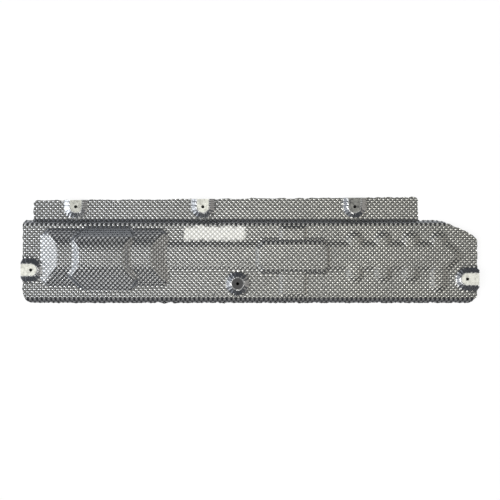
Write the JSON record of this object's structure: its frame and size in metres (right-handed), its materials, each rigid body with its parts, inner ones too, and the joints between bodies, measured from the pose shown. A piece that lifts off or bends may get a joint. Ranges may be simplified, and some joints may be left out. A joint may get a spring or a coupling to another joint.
{
  "type": "heat shield",
  "caption": "Long embossed aluminium underbody heat shield with a stepped fixing flange, a vaulted dome at one end, a shallow spine, upright beads and raised seats round its fixing holes.",
  "frame": {"origin": "middle of the bounding box, at the underside of the flange and the edge of the rim", "axes": "+X along the shield from the dome end to the beaded end, +Y towards the fixing flange, +Z out of the pressed face"},
  "size_m": [1, 0.2309, 0.0488],
  "materials": {
    "aluminium": "bright embossed sheet"
  },
  "bodies": {
    "root": {"heat_shield": "aluminium"}
  },
  "joints": []
}
